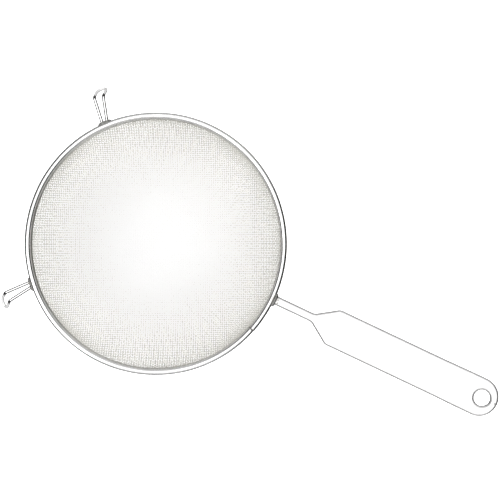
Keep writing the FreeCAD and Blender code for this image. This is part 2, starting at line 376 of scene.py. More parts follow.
def tube(path, guides, radius, sides, closed=False):
    """Points and faces of a round wire along path. guides never lie along the path."""
    path = np.asarray(path, float)
    if closed:
        along = np.roll(path, -1, axis=0) - np.roll(path, 1, axis=0)
    else:
        along = np.gradient(path, axis=0)
    along = unit(along)
    guides = np.broadcast_to(guides, path.shape)
    up = unit(guides - along * np.sum(guides * along, axis=1, keepdims=True))
    side = np.cross(along, up)
    turn = even_turns(sides)
    ring = (up[:, None, :] * np.cos(turn)[None, :, None]
            + side[:, None, :] * np.sin(turn)[None, :, None])
    radius = np.broadcast_to(radius, len(path))[:, None, None]
    points = (path[:, None, :] + ring * radius).reshape(-1, 3)
    faces = ring_faces(len(path), sides, closed_path=closed).tolist()
    if not closed:
        faces += end_caps(len(path), sides)
    return points, faces


def polar(radius, angle, height):
    return np.stack([radius * np.cos(angle), radius * np.sin(angle),
                     np.broadcast_to(height, np.shape(radius * angle))], axis=-1)


def arc(centre, radius, start, end, count):
    """Points (x, y) along an arc, both ends included."""
    turn = np.linspace(start, end, count)
    return np.stack([centre[0] + radius * np.cos(turn),
                     centre[1] + radius * np.sin(turn)], axis=1)


def bumpy(points, size, amount, seed):
    """Points moved by smooth noise of the given feature size."""
    moved = [Vector(p) + noise.noise_vector(Vector(p) / size + Vector((seed, 0, 0))) * amount
             for p in points]
    return np.array(moved)


def outside_rim(points, stand_off=0.0):
    """Points with those inside the rim's curl moved straight out to its surface."""
    points = np.array(points, float)
    radius = np.hypot(points[:, 0], points[:, 1])
    out = radius - curl_r
    up = points[:, 2] - curl_z
    distance = np.hypot(out, up)
    reach = CURL_RADIUS + stand_off
    inside = distance < reach
    wanted = np.where(inside, np.sqrt(np.maximum(reach ** 2 - up ** 2, 0)), out)
    factor = (curl_r + wanted) / radius
    points[:, 0] *= factor
    points[:, 1] *= factor
    return points


# ---------------------------------------------------------------- materials

class Shader:
    """A node material, with short ways to add and join its nodes."""

    def __init__(self, name):
        self.material = bpy.data.materials.new(name)
        self.material.use_nodes = True
        self.tree = self.material.node_tree
        self.bsdf = self.tree.nodes["Principled BSDF"]

    def feed(self, socket, value):
        """Join another node's output to an input, or set the input to a plain value."""
        if isinstance(value, bpy.types.NodeSocket):
            self.tree.links.new(value, socket)
        else:
            socket.default_value = value

    def node(self, kind, *inputs, **settings):
        made = self.tree.nodes.new("ShaderNode" + kind)
        for key, value in settings.items():
            setattr(made, key, value)
        for i, value in enumerate(inputs):
            self.feed(made.inputs[i], value)
        return made

    def math(self, operation, *inputs):
        return self.node("Math", *inputs, operation=operation).outputs[0]

    def place(self):
        return self.node("TexCoord").outputs["Object"]

    def round_axis(self, place):
        """Coordinates (arc length, radius, height) for grain that runs round the Z axis."""
        split = self.node("SeparateXYZ", place)
        angle = self.math("ARCTAN2", split.outputs[1], split.outputs[0])
        arc_length = self.math("MULTIPLY", angle, RIM_OUTER_RADIUS * MM)
        square = self.math("ADD", self.math("MULTIPLY", split.outputs[0], split.outputs[0]),
                           self.math("MULTIPLY", split.outputs[1], split.outputs[1]))
        radius = self.math("SQRT", square)
        return self.node("CombineXYZ", arc_length, radius, split.outputs[2]).outputs[0]

    def stretched(self, place, stretch):
        made = self.node("Mapping", place)
        made.inputs["Scale"].default_value = stretch
        return made.outputs[0]

    def noise(self, place, scale, detail=3.0, roughness=0.5):
        made = self.node("TexNoise", place)
        made.inputs["Scale"].default_value = scale
        made.inputs["Detail"].default_value = detail
        made.inputs["Roughness"].default_value = roughness
        return made.outputs["Fac"]

    def between(self, value, low, high, from_low=0.0, from_high=1.0):
        made = self.node("MapRange", value)
        made.inputs["From Min"].default_value = from_low
        made.inputs["From Max"].default_value = from_high
        made.inputs["To Min"].default_value = low
        made.inputs["To Max"].default_value = high
        return made.outputs[0]

    def mix(self, share, first, second):
        made = self.node("Mix", data_type="RGBA")
        for i, value in ((0, share), (6, first), (7, second)):
            self.feed(made.inputs[i], value)
        return made.outputs[2]

    def blend(self, share, first, second):
        """A number that goes from first to second as the share goes from 0 to 1."""
        kept = self.math("MULTIPLY", self.math("SUBTRACT", 1.0, share), first)
        return self.math("ADD", kept, self.math("MULTIPLY", share, second))

    def near(self, place, points, reach):
        """1 at any of the points, falling to 0 at the given distance in millimetres."""
        total = None
        for point in points:
            away = self.node("VectorMath", place, tuple(c * MM for c in point),
                             operation="DISTANCE").outputs["Value"]
            share = self.between(away, 1.0, 0.0, 0.0, reach * MM)
            total = share if total is None else self.math("MAXIMUM", total, share)
        return total

    def component(self, place, direction):
        """How far a place lies along a direction."""
        product = self.node("VectorMath", place, tuple(direction), operation="DOT_PRODUCT")
        return product.outputs["Value"]

    def bump(self, height, distance, strength, normal=None):
        made = self.node("Bump", strength, distance * MM)
        self.tree.links.new(height, made.inputs["Height"])
        if normal is not None:
            self.tree.links.new(normal, made.inputs["Normal"])
        return made.outputs["Normal"]

    def finish(self, colour, roughness, normal, metallic=1.0):
        for name, value in (("Base Color", colour), ("Roughness", roughness),
                            ("Normal", normal), ("Metallic", metallic)):
            self.feed(self.bsdf.inputs[name], value)
        return self.material


def grey(value, warmth=0.0):
    return (value + warmth, value, value - warmth, 1.0)


class Steel(Shader):
    """Worked stainless steel, with grain along the way it was drawn or rolled and faint
    cloudiness. Painted shade, pits and heat marks are laid over it one after the other."""

    def __init__(self, name, bright, dull, smooth, rough, stretch, round_grain=False):
        super().__init__(name)
        self.where = self.place()
        along = self.round_axis(self.where) if round_grain else self.where
        self.grain = self.noise(self.stretched(along, stretch), 1.0, 4.0, 0.6)
        self.cloud = self.noise(self.where, 60.0, 4.0, 0.6)
        clouded = self.between(self.cloud, 0.0, 1.0, 0.3, 0.7)
        self.colour = self.mix(clouded, grey(bright), grey(dull, 0.006))
        grained = self.between(self.grain, 0.0, 0.35, 0.45, 0.75)
        self.colour = self.mix(grained, self.colour, grey(dull * 0.85, 0.004))
        spread = rough - smooth
        self.roughness = self.math(
            "ADD", self.between(self.grain, 0.0, spread * 0.6, 0.3, 0.7),
            self.between(self.cloud, smooth, smooth + spread * 0.4, 0.3, 0.7))
        self.metallic = 1.0

    def roughen(self, share, amount):
        self.roughness = self.math("ADD", self.roughness, self.math("MULTIPLY", share, amount))

    def leg_shade_share(self, radius):
        """Strength of the painted shade on the leg round the rim, following the light: full on the
        picture's left, half on its right and none at the top and bottom."""
        leftness = self.math("DIVIDE", self.component(self.where, -image_right), radius)
        left = self.between(leftness, 0.0, 1.0, 0.55, 0.95)
        right = self.between(leftness, 0.0, 0.5, -0.55, -0.95)
        return self.math("MAXIMUM", left, right)

    def paint_leg_shade(self):
        """Paint dark shade, a painted reflection, on the rim's inner leg, and roughen it there."""
        split = self.node("SeparateXYZ", self.round_axis(self.where))
        radius = split.outputs[1]
        inside = self.between(radius, 1.0, 0.0, LEG_SHADE_RADIUS * MM,
                              (LEG_SHADE_RADIUS + LEG_SHADE_RADIUS_FADE) * MM)
        below = self.between(split.outputs[2], 1.0, 0.0, LEG_SHADE_HEIGHT * MM,
                             LEG_SHADE_HEIGHT_END * MM)
        # Painted shade: the inner leg is darkened where it would mirror the dim room.
        painted_shade = self.math("MULTIPLY", self.math("MULTIPLY", inside, below),
                         self.leg_shade_share(radius))
        patchy_shade = self.math("MULTIPLY", painted_shade, self.between(self.cloud, 0.8, 1.0, 0.3, 0.7))
        self.colour = self.mix(patchy_shade, self.colour, LEG_SHADE_COLOUR)
        self.roughen(painted_shade, LEG_SHADE_ROUGHNESS)

    def paint_flank_shade(self):
        """Paint shade on the flanks of a hook's legs, standing in for reflections of the dim room, and
        make its bent tip satin.
        """
        height = self.node("SeparateXYZ", self.where).outputs[2]
        under_top = self.between(height, 1.0, 0.0, FLANK_HIGH_FULL * MM, FLANK_HIGH * MM)
        over_foot = self.between(height, 0.0, 1.0, FLANK_LOW * MM, FLANK_LOW_FULL * MM)
        # Painted shade: dark flanks stand in for reflected dim surroundings.
        flank_shade = self.math("MULTIPLY", under_top, over_foot)
        self.colour = self.mix(flank_shade, self.colour, FLANK_SHADE_COLOUR)
        tip = self.between(height, 1.0, 0.0, TIP_FULL * MM, TIP_TOP * MM)
        self.roughen(tip, TIP_ROUGHNESS)
        self.metallic = self.between(tip, 1.0, TIP_METALLIC)

    def pit(self, points):
        """Dark pits, as spot welds leave, at the points."""
        share = self.between(self.near(self.where, points, PIT_REACH), 0.0, 0.85, 0.2, 0.6)
        self.colour = self.mix(share, self.colour, PIT_COLOUR)

    def heat(self, points, reach):
        """Speckled grey film round the points where it was welded."""
        speckle = self.between(self.noise(self.where, 900.0, 2.0), 0.7, 1.3, 0.3, 0.7)
        heat = self.math("MULTIPLY", self.near(self.where, points, reach), speckle)
        edge = self.between(heat, 0.0, 0.7, 0.0, 0.6)
        self.colour = self.mix(edge, self.colour, HEAT_EDGE_COLOUR)
        core = self.between(heat, 0.0, 0.9, 0.45, 0.9)
        self.colour = self.mix(core, self.colour, HEAT_COLOUR)
        rougher = self.between(heat, 0.0, 0.3, 0.2, 0.8)
        self.roughness = self.math("ADD", self.roughness, rougher)

    def done(self):
        normal = self.bump(self.grain, GRAIN_DEPTH, 0.5)
        normal = self.bump(self.noise(self.where, 140.0, 2.0), WAVE_DEPTH, 0.25, normal)
        return self.finish(self.colour, self.roughness, normal, self.metallic)


def rim_steel(heated):
    s = Steel("rolled_rim_steel", 0.80, 0.68, 0.10, 0.30, (60, 2500, 2500), round_grain=True)
    s.paint_leg_shade()
    s.heat(heated, RIM_HEAT_REACH)
    return s.done()


def handle_steel(heated):
    s = Steel("polished_handle_steel", 0.88, 0.80, 0.36, 0.52, (40, 1500, 1500))
    s.pit([(x, y, HANDLE_DEPTH) for x, y in SPOT_PITS])
    s.heat(heated, HANDLE_HEAT_REACH)
    return s.done()


def hook_steel(heated):
    s = Steel("drawn_wire_steel", 0.80, 0.70, 0.08, 0.20, (300, 900, 900))
    s.paint_flank_shade()
    s.heat(heated, HOOK_HEAT_REACH)
    return s.done()


def cloth_wire(name, bright, dull):
    """Drawn wire of a woven cloth, paler in some patches than others, with painted shade that
    makes it darker and warmer towards the rim."""
    s = Shader(name)
    place = s.place()
    patches = s.between(s.noise(place, 45.0, 3.0, 0.55), 0.0, 1.0, 0.3, 0.7)
    fine = s.noise(place, 700.0, 2.0)
    height = s.node("SeparateXYZ", place).outputs[2]
    # Painted shade: the wire darkens towards the rim.
    painted_shade = s.between(height, 0.0, 1.0, CLOTH_SHADE_LOW * MM, CLOTH_SHADE_TOP * MM)
    colour = s.mix(patches, grey(bright), grey(dull, 0.004))
    colour = s.mix(s.math("POWER", painted_shade, CLOTH_SHADE_POWER), colour, CLOTH_SHADE_COLOUR)
    roughness = s.between(fine, 0.35, 0.5, 0.3, 0.7)
    return s.finish(colour, roughness, s.bump(fine, 0.01, 0.3), CLOTH_METALLIC)


def weld_metal(name):
    """Solidified weld: rough and lumpy, in clouded greys."""
    s = Shader(name)
    place = s.place()
    lumps = s.noise(place, 900.0, 4.0, 0.65)
    cloud = s.noise(place, 350.0, 2.0)
    colour = s.mix(s.between(lumps, 0.0, 1.0, 0.3, 0.7), WELD_DARK, WELD_PALE)
    colour = s.mix(s.between(cloud, 0.0, 0.6, 0.45, 0.8), colour, WELD_CLOUD)
    roughness = s.between(lumps, 0.28, 0.6, 0.3, 0.7)
    return s.finish(colour, roughness, s.bump(lumps, 0.12, 0.6))


def floor_material():
    """Pale matt board. The camera sees it evenly lit, and in mirrored light it is a pool of
    brightness round the bowl that falls off to a dim surround."""
    s = Shader("floor_board")
    place = s.place()
    colour = s.mix(s.noise(place, 6.0, 3.0), grey(0.86), grey(0.88))
    away = s.node("VectorMath", place, operation="LENGTH").outputs["Value"]
    outwards = s.between(away, 0.0, 1.0, POOL_START * MM, POOL_END * MM)
    pool = s.mix(outwards, grey(POOL_BRIGHT), grey(POOL_DIM))
    is_camera = s.node("LightPath").outputs["Is Camera Ray"]
    for name, value in (("Base Color", s.mix(is_camera, pool, colour)),
                        ("Roughness", FLOOR_ROUGHNESS),
                        ("Specular IOR Level", FLOOR_SHINE),
                        ("Emission Color", (1, 1, 1, 1)),
                        ("Emission Strength", s.math("MULTIPLY", is_camera, FLOOR_GLOW))):
        s.feed(s.bsdf.inputs[name], value)
    return s.material


# ---------------------------------------------------------------- rim

def off_leg(distance, off):
    """Point (radius, height) this far down the rim's legs and off their middle line."""
    r, z = down_the_leg(distance)
    return r - off * math.sin(LEG_SLOPE), z + off * math.cos(LEG_SLOPE)


def leg_line(side, distances, half, crown):
    """Points (radius, height) along one face of a rim leg."""
    points = []
    for distance in distances:
        share = (distance - distances[0]) / (distances[-1] - distances[0])
        swell = crown * math.sin(math.pi * share)
        if crown > 0:
            swell -= PINCH * (1 - share) ** PINCH_POWER
        points.append(off_leg(distance, side * (half + swell)))
    return points


def curl_turns(radius, half, count):
    """Angles round the curl from the upper leg, over the top and on to the lower leg."""
    opening = math.asin(half / radius)
    leg_direction = math.pi + LEG_SLOPE
    return np.linspace(leg_direction - opening, leg_direction + opening - 2 * math.pi, count)


def curl_arc(radius, half, count):
    return [(curl_r + radius * math.cos(t), curl_z + radius * math.sin(t))
            for t in curl_turns(radius, half, count)]


def rim_section():
    """Closed outline of the rim's sheet, as points (radius, height)."""
    inner_radius = CURL_RADIUS - STRIP_THICKNESS
    outer_start = math.sqrt(CURL_RADIUS ** 2 - leg_half ** 2) + LEG_START_GAP
    inner_start = math.sqrt(inner_radius ** 2 - slot_half ** 2) + LEG_START_GAP
    end = LEG_END - STRIP_THICKNESS / 2
    down = np.linspace(outer_start, end, LEG_STEPS)
    inside_down = np.linspace(inner_start, end, LEG_INSIDE_STEPS)
    upper = leg_line(1, down, leg_half, LEG_CROWN)
    upper_inside = leg_line(1, inside_down, slot_half, 0.0)
    lower = leg_line(-1, down, leg_half, LEG_CROWN)
    lower_inside = leg_line(-1, inside_down, slot_half, 0.0)
    outer_curl = curl_arc(CURL_RADIUS, leg_half, CURL_STEPS)
    inner_curl = curl_arc(inner_radius, slot_half, CURL_INSIDE_STEPS)
    return (upper[::-1] + outer_curl + lower + leg_tip(-1) + lower_inside[::-1]
            + inner_curl[::-1] + upper_inside + leg_tip(1)[::-1])


def leg_tip(side):
    """Half round end of a leg, from its outer face to its inner face."""
    radius = STRIP_THICKNESS / 2
    middle = slot_half + radius
    return [off_leg(LEG_END - radius + radius * math.sin(t), side * (middle + radius * math.cos(t)))
            for t in np.linspace(0, math.pi, LEG_TIP_STEPS)[1:-1]]


def seam_step(angle):
    """How far the strip stands out near its seam, where one end laps up over the other."""
    away = (angle - SEAM_ANGLE + math.pi) % (2 * math.pi) - math.pi
    return SEAM_STEP * math.copysign(math.exp(-abs(away) / SEAM_STEP_FADE), away)


def rim_hoop(material):
    section = np.array(rim_section())
    sides = len(section)
    turn = np.linspace(SEAM_HALF_GAP, 2 * math.pi - SEAM_HALF_GAP, RIM_SEGMENTS + 1)
    angles = SEAM_ANGLE + turn
    rings = []
    for angle in angles:
        around = Vector((math.cos(angle), math.sin(angle), 0)) * RIM_WAVE_SCALE
        wave = RIM_WAVE * noise.noise(around)
        radius = section[:, 0] + seam_step(angle) + wave
        rings.append(polar(radius, angle * np.ones(sides), section[:, 1] + wave))
    faces = ring_faces(len(angles), sides).tolist() + end_caps(len(angles), sides)
    return add_piece("rolled_rim", np.concatenate(rings), faces, material, "rim_hoop")


def bead_wire(material):
    turn = np.linspace(0, 2 * math.pi, BEAD_SEGMENTS, endpoint=False)
    path = polar(curl_r * np.ones(len(turn)), turn, curl_z)
    radius = CURL_RADIUS - STRIP_THICKNESS - BEAD_WIRE_CLEARANCE
    points, faces = tube(path, (0, 0, 1), radius, BEAD_SIDES, closed=True)
    return add_piece("bead_core_wire", points, faces, material, "bead_wire")


def seam_weld(material):
    """Thin raised ridge that closes the seam over the curl."""
    radius = CURL_RADIUS - STRIP_THICKNESS / 2 + SEAM_WELD_PROUD
    path = [polar(curl_r + radius * math.cos(t), SEAM_ANGLE, curl_z + radius * math.sin(t))
            for t in curl_turns(CURL_RADIUS, leg_half, SEAM_WELD_STEPS)]
    ripple = np.sin(np.arange(SEAM_WELD_STEPS) * SEAM_WELD_RIPPLE_TURN)
    swell = SEAM_WELD_RADIUS + SEAM_WELD_RIPPLE * ripple
    swell[[0, -1]] = SEAM_WELD_END
    guide = (-math.sin(SEAM_ANGLE), math.cos(SEAM_ANGLE), 0)
    points, faces = tube(path, guide, swell, SEAM_WELD_SIDES)
    points = bumpy(points, SEAM_WELD_LUMP, SEAM_WELD_LUMP_DEPTH, SEAM_WELD_SEED)
    return add_piece("rim_seam_weld", points, faces, material, "hoop_seam_weld")


# ---------------------------------------------------------------- cloths

def meridian_places(offset, pitch):
    """Distances from the middle at which wires lie, evenly spaced along the bowl's curve."""
    a = bowl_a + offset
    c = bowl_c + offset
    start = math.asin((bowl_z - mesh_end_z) / c)
    turn = np.linspace(start, math.pi / 2, MERIDIAN_SAMPLES)
    y = a * np.cos(turn)
    z = c * np.sin(turn)
    length = np.concatenate([[0], np.cumsum(np.hypot(np.diff(y), np.diff(z)))])
    visible_radius = down_the_leg(LEG_END)[0]
    distances = length[-1] - pitch * np.arange(1, int(length[-1] / pitch))
    places = np.interp(distances, length, y)
    places = places[places < visible_radius]
    return np.concatenate([-places[::-1], [0.0], places])


def on_bowl(x, y, offset):
    """Points of the bowl surface, moved out by offset, and the outward normals there."""
    a = bowl_a + offset
    c = bowl_c + offset
    drop = np.sqrt(np.maximum(1 - (x * x + y * y) / (a * a), 0))
    points = np.stack([x, y, bowl_z - c * drop], axis=-1)
    normals = unit(np.stack([x / a ** 2, y / a ** 2, -drop / c], axis=-1))
    return points, normals


def woven_wire(index, places, offset, crimp, mid_points):
    """Path and guide normals of one wire, over and under the wires that cross it."""
    place = places[index]
    a = bowl_a + offset
    c = bowl_c + offset
    end_radius = a * math.sqrt(1 - ((bowl_z - mesh_end_z) / c) ** 2)
    reach = math.sqrt(max(end_radius ** 2 - place ** 2, 0))
    inside = np.flatnonzero(np.abs(places) < reach - WIRE_END_GAP)
    y = places[inside]
    side = np.where((inside + index) % 2 == 0, 1.0, -1.0)
    if mid_points:
        y = np.insert(y, np.arange(1, len(y)), (y[1:] + y[:-1]) / 2)
        side = np.insert(side, np.arange(1, len(side)), 0.0)
    y = np.concatenate([[-reach], y, [reach]])
    side = np.concatenate([[0.0], side, [0.0]])
    points, normals = on_bowl(np.full(len(y), place), y, offset)
    return points + normals * (side * crimp)[:, None], normals


def cloth_way(name, kind, material, turn, flip, pitch, wire, offset, sides, mid_points):
    """One direction of a woven cloth, as pieces that each hold a band of its wires."""
    places = meridian_places(offset, pitch)
    crimp = flip * wire / 2
    bounds = np.linspace(0, len(places), CLOTH_BANDS + 1).astype(int)
    spin = about_z(turn)
    for band in range(CLOTH_BANDS):
        all_points = []
        all_faces = []
        count = 0
        for index in range(bounds[band], bounds[band + 1]):
            path, normals = woven_wire(index, places, offset, crimp, mid_points)
            points, faces = tube(path @ spin, normals @ spin, wire / 2, sides)
            all_points.append(points)
            all_faces += [[i + count for i in face] for face in faces]
            count += len(points)
        add_piece(f"{name}_{band + 1}", np.concatenate(all_points), all_faces, material,
                  f"{kind}_mesh")


def cloth(kind, material, angle, pitch, wire, offset, sides, mid_points):
    """A woven cloth: wires one way, and wires across them with the opposite crimp."""
    for way, flip, turn in (("warp", 1, angle), ("weft", -1, angle + math.pi / 2)):
        cloth_way(f"{kind}_cloth_{way}", kind, material, turn, flip, pitch, wire, offset, sides,
                  mid_points)


# ---------------------------------------------------------------- handle

def rounded(corners, step):
    """Open outline through (x, y, radius) corners, with arcs drawn in steps of angle."""
    points = [np.array(corners[0][:2], float)]
    for before, corner, after in zip(corners, corners[1:], corners[2:]):
        here = np.array(corner[:2], float)
        back = unit(np.array(before[:2], float) - here)
        ahead = unit(np.array(after[:2], float) - here)
        half = math.acos(float(np.clip(back @ ahead, -1, 1))) / 2
        radius = corner[2]
        centre = here + unit(back + ahead) * (radius / math.sin(half))
        first = here + back * (radius / math.tan(half)) - centre
        last = here + ahead * (radius / math.tan(half)) - centre
        start = math.atan2(first[1], first[0])
        sweep = (math.atan2(last[1], last[0]) - start + math.pi) % (2 * math.pi) - math.pi
        count = max(3, int(abs(sweep) / step) + 1)
        points += list(arc(centre, radius, start, start + sweep, count))
    points.append(np.array(corners[-1][:2], float))
    return np.array(points)


def spaced(points, longest):
    """The same outline with long stretches split into shorter ones."""
    result = [points[0]]
    for start, end in zip(points, points[1:]):
        pieces = max(1, int(math.ceil(np.linalg.norm(end - start) / longest)))
        result += [start + (end - start) * k / pieces for k in range(1, pieces + 1)]
    return np.array(result)


def handle_outline():
    """Handle edge from the neck's -Y side round the tip to the neck's +Y side."""
    side = [(NECK_START, NECK_HALF_WIDTH, 0),
            (FLARE_START, NECK_HALF_WIDTH, FLARE_CORNER_RADIUS),
            (FLARE_END, GRIP_HALF_WIDTH, FLARE_CORNER_RADIUS),
            (SWELL_START, GRIP_HALF_WIDTH, SWELL_RADIUS),
            (SWELL_END, END_HALF_WIDTH, SWELL_RADIUS),
            (HANDLE_TIP, END_HALF_WIDTH, END_HALF_WIDTH)]
    corners = [(x, -y, r) for x, y, r in side] + side[::-1]
    return spaced(rounded(corners, CORNER_STEP), OUTLINE_STEP)


def inward(outline):
    """Unit normals of the outline that point into the handle."""
    along = unit(np.gradient(outline, axis=0))
    normals = np.stack([-along[:, 1], along[:, 0]], axis=1)
    normals[0] = (0, 1)
    normals[-1] = (0, -1)
    return normals


def bent(points):
    """Flat sheet points (x, y, height over the top face) put on the rising handle."""
    x, y, lift = points[:, 0], points[:, 1], points[:, 2]
    half_arc = BEND_RADIUS * math.tan(HANDLE_RISE / 2)
    t = np.clip((x - BEND_X + half_arc) / (2 * half_arc), 0, 1)
    angle = HANDLE_RISE * t
    rise = np.where(t < 1, BEND_RADIUS * (1 - np.cos(angle)),
                    (x - BEND_X) * math.tan(HANDLE_RISE))
    height = HANDLE_DEPTH + rise + lift * np.cos(angle)
    return np.stack([x - lift * np.sin(angle), y, height], axis=1)


def hole_circle(radius, lift):
    turn = even_turns(HOLE_SIDES)
    return np.stack([HOLE_X + radius * np.cos(turn), radius * np.sin(turn),
                     np.full(HOLE_SIDES, lift)], axis=1)


def plate(boundary, hole_radius):
    """Triangles that fill the boundary around the hole, with points on a loose grid.

    Boundary and hole points come first and in order.
    """
    fixed = np.concatenate([boundary, hole_circle(hole_radius, 0.0)[:, :2]])
    grid = []
    for x in np.arange(boundary[:, 0].min(), boundary[:, 0].max(), SHEET_GRID):
        for y in np.arange(-END_HALF_WIDTH, END_HALF_WIDTH, SHEET_GRID):
            nearest = np.min(np.hypot(fixed[:, 0] - x, fixed[:, 1] - y))
            clear = nearest > SHEET_GRID * GRID_CLEARANCE
            if clear and in_outline(x, y, boundary) and math.hypot(x - HOLE_X, y) > hole_radius:
                grid.append((x, y))
    points = [Vector(p) for p in fixed] + [Vector(p) for p in grid]
    n = len(boundary)
    edges = [(i, (i + 1) % n) for i in range(n)]
    edges += [(n + i, n + (i + 1) % HOLE_SIDES) for i in range(HOLE_SIDES)]
    filled = delaunay_2d_cdt(points, edges, [], 1, FILL_TOLERANCE)
    out_points, _, triangles, origins, _, _ = filled
    kept = []
    for triangle in triangles:
        centre = sum((out_points[i] for i in triangle), Vector((0, 0))) / 3
        if math.hypot(centre.x - HOLE_X, centre.y) > hole_radius:
            kept.append(triangle)
    order = {source: i for i, sources in enumerate(origins) for source in sources}
    return np.array(out_points), kept, [order[i] for i in range(len(fixed))]


def in_outline(x, y, outline):
    crossings = 0
    for (x0, y0), (x1, y1) in zip(outline, np.roll(outline, -1, axis=0)):
        if (y0 > y) != (y1 > y) and x < x0 + (y - y0) * (x1 - x0) / (y1 - y0):
            crossings += 1
    return crossings % 2 == 1


def edge_profile(outer_radius, start_offset, top_lift):
    """(inset, lift) from the bottom of the turned edge up and over to the flat."""
    centre = (start_offset + outer_radius, top_lift - outer_radius)
    foot = -HANDLE_DEPTH + FOOT_ROUNDING
    walls = [(start_offset, lift) for lift in np.linspace(foot, centre[1], EDGE_WALL_STEPS)[:-1]]
    turn = np.linspace(math.pi, math.pi / 2, EDGE_STEPS)
    over = [(centre[0] + outer_radius * math.cos(t), centre[1] + outer_radius * math.sin(t))
            for t in turn]
    return walls + over


def collar_profile(radius, lip_radius, top_lift, steps):
    """(radius, lift) from the flat over the hole's lip and down the collar."""
    over = [(radius + lip_radius * (1 - math.sin(t)), top_lift - lip_radius * (1 - math.cos(t)))
            for t in np.linspace(0, math.pi / 2, steps)]
    return over + [(radius, COLLAR_BREAK), (radius, -COLLAR_DEPTH + FOOT_ROUNDING)]


def sheet_side(outline, normals, profile, hole_profile):
    """One face of the handle's sheet: turned edge, flat and collar, as points and faces.

    Also the indices of its edge at the bottom, at the neck and at the collar's foot.
    """
    rings = [np.column_stack([outline + normals * inset, np.full(len(outline), lift)])
             for inset, lift in profile]
    points = np.concatenate(rings)
    n = len(outline)
    faces = ring_faces(len(rings), n, closed_rings=False).tolist()
    flat_edge = rings[-1][:, :2]
    shares = np.linspace(0, 1, NECK_STEPS + 1)[1:-1, None]
    close = flat_edge[-1] + (flat_edge[0] - flat_edge[-1]) * shares
    boundary = np.concatenate([flat_edge, close])
    radius, lift = hole_profile[0]
    fill, triangles, fixed = plate(boundary, radius)
    base = len(points)
    points = np.concatenate([points, np.column_stack([fill, np.full(len(fill), lift)])])
    same = {base + fixed[i]: (len(rings) - 1) * n + i for i in range(n)}
    faces += [[same.get(base + i, base + i) for i in triangle] for triangle in triangles]
    close_indices = [base + i for i in fixed[n:len(boundary)]]
    hole_ring = [base + i for i in fixed[len(boundary):]]
    for radius, lift in hole_profile[1:]:
        next_ring = [len(points) + k for k in range(HOLE_SIDES)]
        points = np.concatenate([points, hole_circle(radius, lift)])
        for k in range(HOLE_SIDES):
            after = (k + 1) % HOLE_SIDES
            faces.append([hole_ring[k], hole_ring[after], next_ring[after], next_ring[k]])
        hole_ring = next_ring
    neck = ([r * n for r in range(len(rings))] + close_indices[::-1]
            + [r * n + n - 1 for r in range(len(rings) - 1, -1, -1)])
    return points, faces, list(range(n)), neck, hole_ring


def handle(material):
    outline = handle_outline()
    normals = inward(outline)
    top_points, faces, top_foot, top_neck, top_collar = sheet_side(
        outline, normals, edge_profile(EDGE_RADIUS, 0, 0),
        collar_profile(HOLE_RADIUS, HOLE_LIP_RADIUS, 0, LIP_STEPS))
    below_points, below_faces, *below_edges = sheet_side(
        outline, normals, edge_profile(EDGE_RADIUS - SHEET, SHEET, -SHEET),
        collar_profile(HOLE_RADIUS + SHEET, HOLE_LIP_RADIUS - SHEET, -SHEET, LIP_UNDER_STEPS))
    shift = len(top_points)
    faces += [[i + shift for i in reversed(face)] for face in below_faces]
    below_foot, below_neck, below_collar = [[i + shift for i in edge] for edge in below_edges]
    foot = np.column_stack([outline + normals * (SHEET / 2),
                            np.full(len(outline), -HANDLE_DEPTH)])
    collar = hole_circle(HOLE_RADIUS + SHEET / 2, -COLLAR_DEPTH)
    middle = [shift + len(below_points) + k for k in range(len(foot))]
    ring = [middle[-1] + 1 + k for k in range(HOLE_SIDES)]
    for k in range(len(foot) - 1):
        faces.append([top_foot[k + 1], top_foot[k], middle[k], middle[k + 1]])
        faces.append([middle[k + 1], middle[k], below_foot[k], below_foot[k + 1]])
    for k in range(HOLE_SIDES):
        after = (k + 1) % HOLE_SIDES
        faces.append([top_collar[k], top_collar[after], ring[after], ring[k]])
        faces.append([ring[k], ring[after], below_collar[after], below_collar[k]])
    for k in range(len(top_neck) - 1):
        faces.append([top_neck[k], top_neck[k + 1], below_neck[k + 1], below_neck[k]])
    for end in (0, -1):
        faces.append([top_neck[end], below_neck[end], middle[end]])
    points = np.concatenate([top_points, below_points, foot, collar])
    points = outside_rim(bent(points), HANDLE_RIM_GAP)
    piece = add_piece("stamped_handle", points, faces, material, "handle")
    recalculate(piece)
    return piece


def recalculate(piece):
    """Point a closed piece's faces outwards, merge doubled points and drop unused ones."""
    work = bmesh.new()
    work.from_mesh(piece.data)
    loose = [v for v in work.verts if not v.link_faces]
    bmesh.ops.delete(work, geom=loose, context="VERTS")
    bmesh.ops.remove_doubles(work, verts=work.verts, dist=MERGE_DISTANCE * MM)
    bmesh.ops.recalc_face_normals(work, faces=work.faces)
    work.to_mesh(piece.data)
    work.free()
    piece.data.shade_smooth()


# ---------------------------------------------------------------- hooks and welds

def hook_place(side):
    return math.pi - side * HOOK_SPREAD[side]


